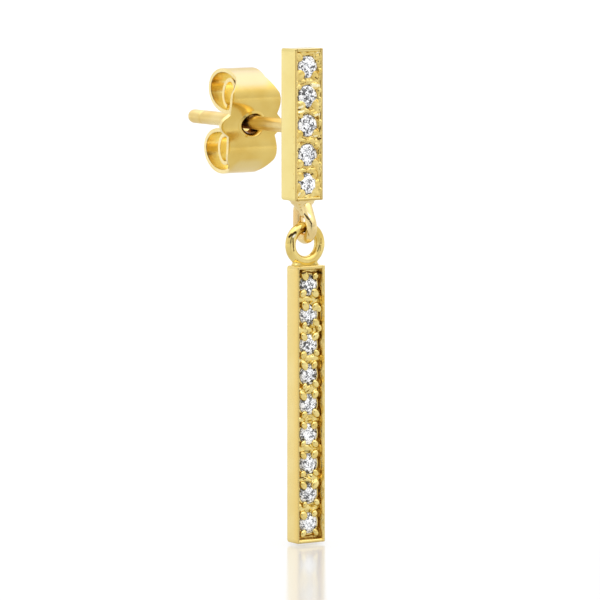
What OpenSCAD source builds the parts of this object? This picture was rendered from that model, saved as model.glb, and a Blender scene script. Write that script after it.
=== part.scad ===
// Drop earring. A short bar set with stones is worn on the lobe: a post is soldered behind it and a
// butterfly nut slides on the post. A longer bar set with stones swings below it on two soldered rings.
// The origin is on the post's axis, at the back face of the stud bar. +Z is up, the stones look along
// -Y and the post runs along +Y.

/* [Both bars] */
// Width of the bars, across the face that holds the stones
bar_width = 1.86; // [1.72:0.02:2.4]
// Radius of the rounded corners at the back of each side face
corner_r = 0.17; // [0.05:0.01:0.3]

/* [Stud bar] */
// Depth of the stud bar, front to back
stud_depth = 1.46; // [1.3:0.02:2]
// Distance from one stone's centre to the next
stud_pitch = 1.65; // [1.6:0.01:1.9]
// Distance from the last stone's centre to the end of the bar
stud_end = 0.97; // [0.94:0.01:1.4]
// Height of the middle of the bar above the post's axis
stud_rise = 0.2; // [-0.6:0.05:0.6]
// Depth of the channel that the stones stand in
stud_channel = 0.27; // [0.2:0.01:0.4]
// Width of the rim along each side of the channel
stud_rim = 0.15; // [0.08:0.01:0.18]
// Width of the rim at each end of the channel
stud_end_rim = 0.17; // [0.08:0.01:0.2]
// Depth of the stones' widest level below the rim
stud_girdle = 0.2; // [0.16:0.01:0.3]
// How far the row of stones stands below the middle of the bar
stud_row_low = 0.06; // [0:0.01:0.1]

/* [Drop bar] */
// Depth of the drop bar, front to back
drop_depth = 1.15; // [1.1:0.01:1.6]
// Distance from one stone's centre to the next
drop_pitch = 1.69; // [1.6:0.01:1.9]
// Distance from the last stone's centre to the end of the bar
drop_end = 1.1; // [0.98:0.01:1.5]
// Depth of the channel that the stones stand in
drop_channel = 0.46; // [0.4:0.01:0.56]
// Width of the rim along each side of the channel
drop_rim = 0.18; // [0.08:0.01:0.2]
// Width of the rim at each end of the channel
drop_end_rim = 0.18; // [0.1:0.01:0.25]
// Depth of the stones' widest level below the rim
drop_girdle = 0.37; // [0.34:0.01:0.44]
// How far the rim's inner edge is cut down to a slope
drop_bevel = 0.13; // [0.02:0.01:0.2]

/* [Stones] */
// Diameter of the stud bar's stones
stud_stone = 1.27; // [1.1:0.01:1.34]
// Diameter of the drop bar's stones
drop_stone = 1.2; // [1.0:0.01:1.3]
// Width of the table, as a share of the diameter
table_share = 0.56; // [0.5:0.01:0.62]
// Height of the crown, as a share of the diameter
crown_share = 0.15; // [0.1:0.01:0.18]
// Depth of the pavilion, as a share of the diameter
pavilion_share = 0.41; // [0.36:0.01:0.43]
// Thickness of the girdle, as a share of the diameter
girdle_share = 0.03; // [0.02:0.01:0.05]
// Clearance between a stone and the metal round it
stone_gap = 0.03; // [0.02:0.005:0.05]

/* [Claws] */
// Radius of a claw's round head
claw_r = 0.165; // [0.12:0.005:0.18]
// How far the stud bar's claws stand outside the stone's edge, at the middle of the claw
stud_claw_out = 0.13; // [0.06:0.01:0.13]
// Angle of the stud bar's claws from the level through the stone
stud_claw_angle = 47; // [42:1:50]
// Depth of the stud bar's claw tops below the rim
stud_claw_low = 0.0; // [0:0.01:0.1]
// How far the drop bar's claws stand outside the stone's edge, at the middle of the claw
drop_claw_out = 0.09; // [0.06:0.01:0.13]
// Angle of the drop bar's claws from the level through the stone
drop_claw_angle = 50; // [46:1:54]
// Depth of the drop bar's claw tops below the rim
drop_claw_low = 0.03; // [0.02:0.01:0.12]

/* [Rings] */
// Diameter of the stud loop's wire
loop_wire = 0.62; // [0.5:0.01:0.66]
// Width of the stud loop at its round bottom, to the middle of its wire
loop_width = 1.36; // [1.34:0.01:1.6]
// Width of the stud loop at its round top, to the middle of its wire
loop_top_width = 0.96; // [0.9:0.01:1.3]
// Height of the stud loop, to the middle of its wire
loop_height = 1.98; // [1.9:0.01:2.4]
// How far the loop leans forward from its solder joint
loop_lean = 13; // [0:1:20]
// Diameter of the drop ring's wire
ring_wire = 0.61; // [0.5:0.01:0.62]
// Diameter of the drop ring, to the middle of its wire
ring_width = 1.94; // [1.85:0.01:2.3]
// Gap between the two rings where they would touch
ring_gap = 0.04; // [0.03:0.01:0.1]
// How deep each ring is sunk in its solder joint
solder_depth = 0.09; // [0.05:0.01:0.15]
// Width of a solder joint where it meets its bar
solder_width = 1.16; // [0.9:0.02:1.2]
// Height of a solder joint
solder_height = 0.36; // [0.2:0.01:0.45]
// How far the drop ring stands behind the middle of its bar
ring_setback = 0.12; // [0:0.01:0.2]

/* [Post] */
// Diameter of the post
post_d = 0.8; // [0.7:0.01:0.95]
// Length of the post behind the bar
post_length = 11.05; // [10.5:0.05:13]
// Width of the solder fillet where the post meets the bar
post_fillet = 0.15; // [0.05:0.01:0.25]
// Distance from the post's tip to its groove
groove_place = 1.5; // [1.2:0.05:1.7]
// Width of the groove
groove_width = 0.24; // [0.1:0.02:0.4]
// Depth of the groove
groove_depth = 0.03; // [0.02:0.01:0.06]

/* [Nut] */
// Distance from the bar's back to the nut's plate, at the hole
nut_place = 4.65; // [4.4:0.01:5.6]
// Lean of the nut, its upper scroll forward
nut_tilt = 8.5; // [0:0.5:12]
// Thickness of the nut's sheet
nut_sheet = 0.2; // [0.14:0.01:0.24]
// Width of the nut at its hole
nut_width = 4.1; // [3.6:0.05:4.8]
// Height of the nut
nut_height = 6.05; // [5.6:0.05:7]
// How far the nut's two lobes stand in front of its hole
nut_dish = 0.33; // [0.1:0.01:0.5]
// Width of the nut's scrolls
scroll_width = 1.95; // [1.7:0.05:2.4]
// Width of the narrow end inside each scroll
curl_width = 1.7; // [1.2:0.05:1.8]
// Diameter of the hole in the nut's plate
nut_hole = 1.28; // [1.2:0.01:1.6]
// Height of the hole's middle above the middle of the nut
hole_high = 0.12; // [0:0.01:0.2]
// Radius of the rounded lip round the hole
lip_r = 0.13; // [0.12:0.01:0.18]
// Clearance between the post and each scroll
grip_gap = 0.05; // [0.04:0.01:0.1]

/* [Hidden] */
STUD_STONES = 5;
DROP_STONES = 9;
UPPER = [for (i = [1:STUD_STONES]) str("stone_upper_", i)];
LOWER = [for (i = [1:DROP_STONES]) str("stone_lower_", i)];
GOLD = [0.93, 0.79, 0.42];
STONE = [0.9, 0.92, 0.95];
$fn = 48;

// Heights of the two bars follow from their rows of stones
stud_height = (STUD_STONES - 1) * stud_pitch + 2 * stud_end;
drop_height = (DROP_STONES - 1) * drop_pitch + 2 * drop_end;
stud_bottom = stud_rise - stud_height / 2;

// The stud loop is two arcs joined by two straight legs. Its top is just inside the bar's bottom face.
loop_r = loop_width / 2;
loop_top_r = loop_top_width / 2;
wire_r = loop_wire / 2;
pivot_y = -stud_depth / 2;
pivot_z = stud_bottom + solder_depth - wire_r;
loop_span = loop_height - loop_r - loop_top_r;
loop_taper = asin((loop_r - loop_top_r) / loop_span);
loop_drop = loop_top_r + loop_span;
hinge_y = pivot_y - loop_drop * sin(loop_lean);
hinge_z = pivot_z - loop_drop * cos(loop_lean) - loop_r;

// The drop ring hangs on the loop's lowest wire, and the drop bar hangs below the ring
ring_r = ring_width / 2;
ring_wire_r = ring_wire / 2;
ring_z = hinge_z + wire_r + ring_gap - (ring_r - ring_wire_r);
drop_top = ring_z - ring_r - ring_wire_r + solder_depth;
drop_back = hinge_y - ring_setback + drop_depth / 2;
drop_middle = drop_top - drop_height / 2;

// The nut's sheet seen from the side: it starts at the nut's middle, bends forward into a lobe, then
// turns back over a crest, down behind, forward along the post, and up, back and down again inside.
// The points are where each quarter turn ends, as shares of a scroll's height: distance behind the
// plate, height above the grip. The headings are those that the quarter turns start with.
CREST = [0.62, 1];
REAR = [1.31, 0.5];
GRIP = [0.58, 0];
TURN = [0.27, 0.3];
INNER_CREST = [0.54, 0.79];
INNER_REAR = [0.83, 0.42];
CURL_END = [0.62, 0.12];
UP = 0;
BACK = 90;
DOWN = 180;
FORWARD = 270;
LOBE_HEIGHT = 0.38;
FRONT_DEPTH = 0.19;
ARC_STEPS = 8;
post_r = post_d / 2;
grip_v = (post_r + grip_gap) / cos(nut_tilt) + nut_sheet / 2;
crest_v = nut_height / 2 - nut_sheet / 2;
scroll_height = crest_v - grip_v;
grip_u = GRIP[0] * scroll_height;
lobe_v = grip_v + LOBE_HEIGHT * scroll_height;

// Place of a point given in shares of the scroll's height
function place(q) = [q[0] * scroll_height, grip_v + q[1] * scroll_height];
// Points and headings of a quarter turn from p, where the sheet heads at angle h, to q
function quarter(p, q, h) = let (
    ahead = [sin(h), cos(h)],
    side = [cos(h), -sin(h)],
    a = (q - p) * ahead,
    b = (q - p) * side)
    [for (k = [1:ARC_STEPS]) let (t = 90 * k / ARC_STEPS, m = p + a * sin(t) * ahead + b * (1 - cos(t)) * side)
        [m[0], m[1], h + atan2(b * sin(t), a * cos(t))]];
// Points and headings of the plate's own bend, from the nut's middle to the lobe
dish_line = [for (k = [0:ARC_STEPS]) let (t = 180 * k / ARC_STEPS)
    [-nut_dish * (1 - cos(t)) / 2, lobe_v * t / 180, -atan(nut_dish * sin(t) * PI / (2 * lobe_v))]];
scroll_line = concat(dish_line, quarter([-nut_dish, lobe_v], place(CREST), UP),
    quarter(place(CREST), place(REAR), BACK), quarter(place(REAR), place(GRIP), DOWN));
curl_line = concat([[grip_u, grip_v, FORWARD]], quarter(place(GRIP), place(TURN), FORWARD),
    quarter(place(TURN), place(INNER_CREST), UP), quarter(place(INNER_CREST), place(INNER_REAR), BACK),
    quarter(place(INNER_REAR), place(CURL_END), DOWN));

// A flat bar with its stone face at the front, its back face on y = 0 and its corners rounded behind
module plain_bar(depth, height) {
    rotate([90, 0, 90])
        translate([0, 0, -bar_width / 2])
            linear_extrude(bar_width) {
                translate([-depth, -height / 2])
                    square([depth - corner_r, height]);
                translate([-depth, -height / 2 + corner_r])
                    square([depth, height - 2 * corner_r]);
                for (s = [-1, 1])
                    translate([-corner_r, s * (height / 2 - corner_r)])
                        circle(corner_r);
            }
}

// The channel in a bar's face, cut in from the front
module channel(depth, height, cut, rim, end_rim, front = 0.1) {
    translate([-bar_width / 2 + rim, -depth - front, -height / 2 + end_rim])
        cube([bar_width - 2 * rim, cut + front, height - 2 * end_rim]);
}

// The slope cut round the mouth of a channel, as deep as the bevel
module channel_bevel(depth, height, bevel, rim, end_rim, edge = 0.02) {
    across = [bar_width - 2 * edge, bar_width - 2 * rim];
    along = [height - 2 * edge, height - 2 * end_rim];
    hull()
        for (k = [0, 1])
            translate([-across[k] / 2, -depth - 0.01 + k * bevel, -along[k] / 2])
                cube([across[k], 0.01, along[k]]);
}

// What a setter's cutter removes for one stone: the stone's own form with a gap all round it
module seat_cut(d) {
    r = d / 2;
    g = stone_gap;
    half = girdle_share * d / 2;
    rotate([90, 0, 0])
        rotate_extrude()
            polygon([
                [0, -half - pavilion_share * d - 1.4 * g],
                [r + g, -half],
                [r + g, half + 0.4 * g],
                [table_share * r + 0.6 * g, half + crown_share * d + g],
                [0, half + crown_share * d + g]
            ]);
}

// One claw beside a stone, standing on the floor of the channel
module claw(length) {
    rotate([90, 0, 0]) {
        cylinder(r = claw_r, h = length - claw_r);
        translate([0, 0, length - claw_r])
            sphere(claw_r);
    }
}

// The four claws of one stone
module claws(d, out, angle, floor_y, length) {
    reach = d / 2 + out;
    for (sx = [-1, 1], sz = [-1, 1])
        translate([sx * reach * cos(angle), floor_y + 0.05, sz * reach * sin(angle)])
            claw(length + 0.05);
}

// A bar with its channel, claws and seats, its back face on y = 0 and its middle at z = 0
// The row of stones stands below the bar's middle by row_low
module set_bar(count, pitch, depth, height, cut, rim, end_rim, bevel, d, girdle, out, angle, low,
    row_low) {
    difference() {
        union() {
            difference() {
                plain_bar(depth, height);
                channel(depth, height, cut, rim, end_rim);
                if (bevel > 0)
                    channel_bevel(depth, height, bevel, rim, end_rim);
            }
            for (i = [0:count - 1])
                translate([0, 0, (i - (count - 1) / 2) * pitch - row_low])
                    claws(d, out, angle, -depth + cut, cut - low);
        }
        for (i = [0:count - 1])
            translate([0, -depth + girdle, (i - (count - 1) / 2) * pitch - row_low])
                seat_cut(d);
    }
}

// The post's outline, turned round its axis: a round tip and a shallow groove
module post() {
    rotate([-90, 0, 0])
        difference() {
            rotate_extrude() {
                translate([0, -0.3])
                    square([post_r, post_length - post_r + 0.3]);
                translate([0, post_length - post_r])
                    intersection() {
                        circle(post_r);
                        square(post_r);
                    }
            }
            translate([0, 0, post_length - groove_place - groove_width / 2])
                difference() {
                    cylinder(r = post_r + 1, h = groove_width);
                    translate([0, 0, -1])
                        cylinder(r = post_r - groove_depth, h = groove_width + 2);
                }
        }
}

// Part of a ring of wire in the plane of the loop, from one angle to another
module wire_arc(r, from, to) {
    rotate([0, -90, 180])
        rotate([0, 0, from])
            rotate_extrude(angle = to - from)
                translate([r, 0])
                    circle(wire_r);
}

// The loop under the stud bar: two arcs and two legs, leaning forward, and the solder above it
module stud_loop() {
    leg = loop_span * cos(loop_taper);
    translate([0, pivot_y, pivot_z])
        rotate([-loop_lean, 0, 0]) {
            translate([0, 0, -loop_top_r])
                wire_arc(loop_top_r, -90 + loop_taper, 90 - loop_taper);
            translate([0, 0, -loop_drop])
                wire_arc(loop_r, 90 - loop_taper, 270 + loop_taper);
            for (s = [-1, 1])
                translate([0, 0, -loop_top_r])
                    rotate([s * loop_taper, 0, 0])
                        translate([0, s * loop_top_r, -leg])
                            cylinder(r = wire_r, h = leg);
        }
    translate([0, pivot_y, stud_bottom - solder_height])
        cylinder(r1 = wire_r * 1.3, r2 = solder_width / 2, h = solder_height + 0.02);
}

// The ring on top of the drop bar, in the plane of the bar's face, with its solder
module drop_ring() {
    translate([0, hinge_y, ring_z])
        rotate([90, 0, 0])
            rotate_extrude()
                translate([ring_r, 0])
                    circle(ring_wire_r);
    translate([0, hinge_y + ring_wire_r * 0.95, drop_top])
        rotate([90, 0, 0])
            linear_extrude(ring_wire * 0.95)
                polygon([
                    [-solder_width * 0.7, -0.05],
                    [solder_width * 0.7, -0.05],
                    [solder_width * 0.7, 0.03],
                    [solder_width * 0.48, solder_height * 0.55],
                    [-solder_width * 0.48, solder_height * 0.55],
                    [-solder_width * 0.7, 0.03]
                ]);
}

module stud_bar() {
    color(GOLD) {
        translate([0, 0, stud_rise])
            set_bar(STUD_STONES, stud_pitch, stud_depth, stud_height, stud_channel, stud_rim,
                stud_end_rim, 0, stud_stone, stud_girdle, stud_claw_out, stud_claw_angle,
                stud_claw_low, stud_row_low);
        post();
        rotate([-90, 0, 0])
            cylinder(r1 = post_r + post_fillet, r2 = post_r, h = post_fillet);
        stud_loop();
    }
}

module drop_bar() {
    color(GOLD) {
        translate([0, drop_back, drop_middle])
            set_bar(DROP_STONES, drop_pitch, drop_depth, drop_height, drop_channel, drop_rim,
                drop_end_rim, drop_bevel, drop_stone, drop_girdle, drop_claw_out, drop_claw_angle,
                drop_claw_low, 0);
        drop_ring();
    }
}

// The outline of a sheet that follows a line of points and headings
module sheet_outline(line) {
    h = nut_sheet / 2;
    outer = [for (q = line) [q[0] - h * cos(q[2]), q[1] + h * sin(q[2])]];
    inner = [for (i = [len(line) - 1:-1:0]) let (q = line[i]) [q[0] + h * cos(q[2]), q[1] - h * sin(q[2])]];
    polygon(concat(outer, inner));
}

// Both halves of the nut's sheet, bent along one of its lines and as wide as given
module bent_sheet(line, width) {
    for (s = [0, 1])
        mirror([0, 0, s])
            rotate([90, 0, 90])
                translate([0, 0, -width / 2])
                    linear_extrude(width)
                        sheet_outline(line);
}

// The nut's plate seen from the front: a rounded middle, and two lobes that narrow towards the scrolls
module plate_outline() {
    w = nut_width;
    h = nut_height;
    side = [[0.36, 0], [0.385, 0.12], [0.4, 0.2], [0.4, 0.27], [0.385, 0.315], [0.31, 0.38]];
    half = concat([for (q = side) [q[0] * w, q[1] * h]],
        [[scroll_width / 2, 0.44 * h], [scroll_width / 2, 0.52 * h]]);
    polygon([for (i = [0:71]) [w / 2 * cos(5 * i), hole_high / 2 + 0.165 * h * sin(5 * i)]]);
    for (s = [0, 1])
        mirror([0, s])
            polygon(concat(half, [for (i = [len(half) - 1:-1:0]) [-half[i][0], half[i][1]]]));
}

module ear_nut() {
    color(GOLD)
        translate([0, nut_place + grip_u, 0])
            rotate([nut_tilt, 0, 0])
                translate([0, -grip_u, 0])
                    difference() {
                        union() {
                            intersection() {
                                bent_sheet(scroll_line, nut_width + 1);
                                union() {
                                    translate([0, FRONT_DEPTH * scroll_height, 0])
                                        rotate([90, 0, 0])
                                            linear_extrude(nut_dish + 1)
                                                plate_outline();
                                    translate([-scroll_width / 2, 0, -nut_height / 2 - 1])
                                        cube([scroll_width, nut_height, nut_height + 2]);
                                }
                            }
                            bent_sheet(curl_line, curl_width);
                            translate([0, 0, hole_high])
                                rotate([90, 0, 0])
                                    rotate_extrude()
                                        translate([nut_hole / 2 + 0.7 * lip_r, 0])
                                            circle(lip_r);
                        }
                        translate([0, 0, hole_high])
                            rotate([90, 0, 0])
                                translate([0, 0, -0.5])
                                    cylinder(r = nut_hole / 2, h = 1);
                    }
}

// A round brilliant stone: table up along +Z, girdle at z = 0
module brilliant(d) {
    r = d / 2;
    half = girdle_share * d / 2;
    table_r = table_share * r;
    mid_r = (table_r + r) / 2;
    low_r = 0.3 * r;
    mid_z = half + crown_share * d * (r - mid_r * cos(22.5)) / (r - table_r);
    low_z = -half - pavilion_share * d * (1 - low_r * cos(22.5) / r);
    polyhedron(
        points = concat(
            [for (i = [0:7]) [table_r * cos(45 * i), table_r * sin(45 * i), half + crown_share * d]],
            [for (i = [0:7]) [mid_r * cos(45 * i + 22.5), mid_r * sin(45 * i + 22.5), mid_z]],
            [for (z = [half, -half], i = [0:15]) [r * cos(22.5 * i), r * sin(22.5 * i), z]],
            [for (i = [0:7]) [low_r * cos(45 * i + 22.5), low_r * sin(45 * i + 22.5), low_z]],
            [[0, 0, -half - pavilion_share * d]]
        ),
        faces = concat(
            [[for (i = [0:7]) 7 - i]],
            [for (i = [0:7]) [i, (i + 1) % 8, 8 + i]],
            [for (i = [0:7]) [i, 8 + i, 16 + 2 * i, 8 + (i + 7) % 8]],
            [for (i = [0:7]) [8 + i, 17 + 2 * i, 16 + 2 * i]],
            [for (i = [0:7]) [8 + i, 16 + (2 * i + 2) % 16, 17 + 2 * i]],
            [for (i = [0:15]) [16 + i, 16 + (i + 1) % 16, 32 + (i + 1) % 16, 32 + i]],
            [for (i = [0:7]) [48 + i, 32 + 2 * i, 33 + 2 * i]],
            [for (i = [0:7]) [48 + i, 33 + 2 * i, 32 + (2 * i + 2) % 16]],
            [for (i = [0:7]) [56, 48 + (i + 7) % 8, 32 + 2 * i, 48 + i]]
        )
    );
}

// Stone i of the stud bar, counted from the top
module stud_stone_at(i) {
    color(STONE)
        translate([0, -stud_depth + stud_girdle,
            stud_rise - stud_row_low + ((STUD_STONES + 1) / 2 - i) * stud_pitch])
            rotate([90, 0, 0])
                brilliant(stud_stone);
}

// Stone i of the drop bar, counted from the top
module drop_stone_at(i) {
    color(STONE)
        translate([0, drop_back - drop_depth + drop_girdle,
            drop_middle + ((DROP_STONES + 1) / 2 - i) * drop_pitch])
            rotate([90, 0, 0])
                brilliant(drop_stone);
}

stud_bar();
drop_bar();
ear_nut();
for (i = [1:STUD_STONES])
    stud_stone_at(i);
for (i = [1:DROP_STONES])
    drop_stone_at(i);
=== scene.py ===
"""Looks of a drop earring with two stone-set bars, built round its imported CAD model.

The frame is the CAD's: +X across the bars, +Y along the post away from the stones, +Z up. Pieces are shaped
in millimetres and brought to metres when they are finished.
"""
import logging
import math
import random
from dataclasses import dataclass, field
from enum import Enum
from typing import Any, Callable, Iterable, Optional, Union

import bmesh
import bpy
from mathutils import Euler, Matrix, Vector, noise


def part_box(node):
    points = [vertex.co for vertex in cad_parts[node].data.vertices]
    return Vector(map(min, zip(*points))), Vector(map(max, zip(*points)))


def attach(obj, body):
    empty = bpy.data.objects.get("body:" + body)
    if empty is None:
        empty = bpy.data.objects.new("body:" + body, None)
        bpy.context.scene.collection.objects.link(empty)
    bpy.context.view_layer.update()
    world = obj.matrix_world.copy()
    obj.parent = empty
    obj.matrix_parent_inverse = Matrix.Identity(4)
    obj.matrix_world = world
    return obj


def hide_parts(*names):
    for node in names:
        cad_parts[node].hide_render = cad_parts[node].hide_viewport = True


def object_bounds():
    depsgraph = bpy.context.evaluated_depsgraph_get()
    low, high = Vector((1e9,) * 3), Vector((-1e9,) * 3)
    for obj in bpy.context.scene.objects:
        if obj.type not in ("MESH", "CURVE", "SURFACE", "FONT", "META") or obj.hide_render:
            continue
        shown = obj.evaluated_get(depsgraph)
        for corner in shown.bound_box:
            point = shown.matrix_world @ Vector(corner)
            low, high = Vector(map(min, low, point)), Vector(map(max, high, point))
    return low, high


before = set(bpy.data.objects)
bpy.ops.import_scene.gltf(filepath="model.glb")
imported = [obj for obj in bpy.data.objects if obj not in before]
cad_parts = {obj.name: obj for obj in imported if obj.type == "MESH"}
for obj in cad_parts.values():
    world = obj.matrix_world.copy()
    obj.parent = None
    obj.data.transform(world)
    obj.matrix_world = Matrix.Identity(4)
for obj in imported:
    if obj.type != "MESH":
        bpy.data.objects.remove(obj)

CAD_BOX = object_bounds()
MM = 0.001
LOG = logging.getLogger("earring")
NOISE_SEED = 5
BAR_WIDTH = 1.86
Colour = tuple[float, float, float]


class Body(Enum):
    """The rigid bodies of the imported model."""

    STUD = "stud"
    DROP = "drop"
    NUT = "nut"


class Slot(Enum):
    """The record's slots that the made pieces' finishes stand for."""

    STUD = "gold_stud"
    DROP = "gold_drop"
    NUT = "gold_nut"


# --- shader sums ---


def sum_method(operation: str, swapped: bool = False) -> Callable[..., "Sock"]:
    """Makes an operator of Sock that adds one Math node.

    Args:
        operation: the Math node's operation.
        swapped: whether the socket comes second, as in a reflected operator.

    Returns:
        The operator.
    """
    def method(self: "Sock", other: "Term" = 0.0) -> "Sock":
        """Adds the Math node for this socket and another term."""
        first, second = (other, self) if swapped else (self, other)
        return self.tree.node("ShaderNodeMath", {"operation": operation}, {0: first, 1: second})
    return method


class Sock:
    """An output socket that takes part in Python sums. Each operator adds a Math node."""

    __add__, __radd__ = sum_method("ADD"), sum_method("ADD", True)
    __sub__, __rsub__ = sum_method("SUBTRACT"), sum_method("SUBTRACT", True)
    __mul__, __rmul__ = sum_method("MULTIPLY"), sum_method("MULTIPLY", True)
    __truediv__, __rtruediv__ = sum_method("DIVIDE"), sum_method("DIVIDE", True)
    __pow__, __abs__ = sum_method("POWER"), sum_method("ABSOLUTE")
    __floor__, __round__ = sum_method("FLOOR"), sum_method("ROUND")
    angle_from = sum_method("ARCTAN2")

    def __init__(self, tree: "Tree", out: bpy.types.NodeSocket) -> None:
        """Keeps the tree and the socket."""
        self.tree = tree
        self.out = out


Term = Union[Sock, float, int]


class Tree:
    """One node tree, of a material or of the world."""

    def __init__(self, owner: Union[bpy.types.Material, bpy.types.World]) -> None:
        """Empties the owner's tree.

        Args:
            owner: the material or world that the tree belongs to.
        """
        owner.use_nodes = True
        self.tree = owner.node_tree
        self.tree.nodes.clear()

    def node(self, kind: str, settings: Optional[dict[str, Any]] = None,
             sockets: Optional[dict[Any, Any]] = None, out: Union[int, str] = 0) -> Optional[Sock]:
        """Adds a node: first its settings, then the values or links of its sockets.

        Args:
            kind: the node's type.
            settings: attributes by name; "stops" holds a ramp's (place, colour) pairs.
            sockets: input values or links, by name or number.
            out: which output is handed back.

        Returns:
            The output, or None for a node that has none.
        """
        made = self.tree.nodes.new(kind)
        for key, value in (settings or {}).items():
            if key == "stops":
                ramp = made.color_ramp
                while len(ramp.elements) < len(value):
                    ramp.elements.new(0.5)
                for stop, (place, colour) in zip(ramp.elements, value):
                    stop.position = place
                    stop.color = (*colour, 1.0)
            else:
                setattr(made, key, value)
        for key, value in (sockets or {}).items():
            if isinstance(value, Sock):
                self.tree.links.new(value.out, made.inputs[key])
            else:
                made.inputs[key].default_value = value
        return Sock(self, made.outputs[out]) if len(made.outputs) else None

    def place(self) -> Sock:
        """The point's own place on the object, in metres."""
        return self.node("ShaderNodeTexCoord", out="Object")

    def grain(self, place: Sock, size_mm: float, detail: float = 2.0, rough: float = 0.5) -> Sock:
        """Soft noise from 0 to 1 with marks about size_mm across."""
        return self.node("ShaderNodeTexNoise", {}, {
            "Vector": place, "Scale": 1.0 / (size_mm * MM), "Detail": detail, "Roughness": rough})

    def step(self, value: Sock, low: float, high: float) -> Sock:
        """Rises smoothly from 0 at low to 1 at high."""
        return self.node("ShaderNodeMapRange", {"interpolation_type": "SMOOTHSTEP"},
                         {0: value, 1: low, 2: high, 3: 0.0, 4: 1.0})

    def rise(self, value: Sock, low: float, high: float) -> Sock:
        """Rises smoothly from 0 to 1 between two places in mm."""
        return self.step(value, low * MM, high * MM)

    def fall(self, value: Sock, low: float, high: float) -> Sock:
        """Falls smoothly from 1 to 0 between two places in mm."""
        return 1.0 - self.rise(value, low, high)

    def blend(self, share: Term, first: Union[Sock, Colour], second: Union[Sock, Colour]) -> Sock:
        """Mixes two colours: first where share is 0, second where it is 1."""
        ends = [c if isinstance(c, Sock) else (*c, 1.0) for c in (first, second)]
        return self.node("ShaderNodeMix", {"data_type": "RGBA"}, {0: share, 6: ends[0], 7: ends[1]}, out=2)

    def parts(self, vector: Sock) -> tuple[Sock, Sock, Sock]:
        """The X, Y and Z of a vector."""
        first = self.node("ShaderNodeSeparateXYZ", {}, {0: vector})
        return tuple(Sock(self, o) for o in first.out.node.outputs)

    def surface(self, sockets: dict[str, Any]) -> None:
        """Adds the surface shader and the material's output."""
        shader = self.node("ShaderNodeBsdfPrincipled", {}, sockets)
        self.node("ShaderNodeOutputMaterial", {}, {"Surface": shader})


def new_material(name: str) -> tuple[bpy.types.Material, Tree]:
    """A new material and its emptied tree."""
    material = bpy.data.materials.new(name)
    return material, Tree(material)


# --- finishes ---


@dataclass(frozen=True)
class Recess:
    """Where a bar is hollow, the painted shade down in its channel, and the painted shade on its rim.

    Sizes are in mm. front is the rim's place on Y, depth the channel's, half the channel's half width, low and
    high the bar's ends and width the bar's. colour is painted shade, which comes in from start, a share of
    depth, as strongly as share says, and pit is the painted shade in a pit. A rim has its own darker painted
    colour down to slope, a fine line of painted shade round it and at its inner edge as strong as line_share
    says, and a keen corner with painted shade that goes keen_depth back.
    """

    front: float
    depth: float
    half: float
    low: float
    high: float
    colour: Colour
    share: float = 1.0
    start: float = 0.12
    slope: float = 0.04
    rim: Optional[Colour] = None
    line: Colour = (0.34, 0.19, 0.03)
    line_share: float = 0.85
    keen: Colour = (0.84, 0.65, 0.23)
    keen_depth: float = 0.12
    pit: Colour = (0.16, 0.06, 0.012)
    width: float = BAR_WIDTH


@dataclass(frozen=True)
class Bore:
    """The painted shade inside a hole along Y: its middle's height, its reach, its start and its length, in mm.
    """

    middle: float
    reach: float
    start: float
    length: float = 1.0
    colour: Colour = (0.20, 0.065, 0.012)


@dataclass(frozen=True)
class Streak:
    """A thin mark of painted light along a line, from start to end, in mm: painted shade, reflections and
    highlights.

    A mark that runs through has the same place at every depth on Y. ragged is how broken its edge is.
    """

    start: tuple[float, float, float]
    end: tuple[float, float, float]
    width: float
    colour: Colour = (0.07, 0.035, 0.01)
    share: float = 0.95
    through: bool = False
    ragged: float = 1.0


@dataclass(frozen=True)
class Gold:
    """A yellow gold finish: its colours, its bumps, and painted shade, reflections and highlights. Sizes are in
    mm.
    """

    name: str
    colour: Colour
    deep: Colour
    rough: float = 0.16
    rough_spread: float = 0.1
    cloud: float = 1.4
    wave: float = 0.9
    wave_height: float = 0.004
    grit: float = 0.09
    grit_height: float = 0.0006
    recess: Optional[Recess] = None
    bore: Optional[Bore] = None
    streaks: tuple[Streak, ...] = ()

    def make(self) -> bpy.types.Material:
        """Builds the material: clouded colour, uneven polish, soft waves, fine grit and the painted shade and
        highlights on it.

        Returns:
            The material.
        """
        material, tree = new_material(self.name)
        coat = Coat(tree, self)
        if self.recess is not None:
            coat.hollow(self.recess)
        if self.bore is not None:
            coat.darken(self.bore)
        for streak in self.streaks:
            coat.mark(streak)
        wave = tree.grain(coat.place, self.wave, 1.0)
        grit = tree.grain(coat.place, self.grit, 3.0)
        height = wave * (self.wave_height * MM) + grit * (self.grit_height * MM)
        bump = tree.node("ShaderNodeBump", {}, {"Strength": 1.0, "Distance": 1.0, "Height": height}, "Normal")
        tree.surface({"Base Color": coat.colour, "Metallic": 1.0, "Roughness": coat.rough, "Normal": bump})
        return material


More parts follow.
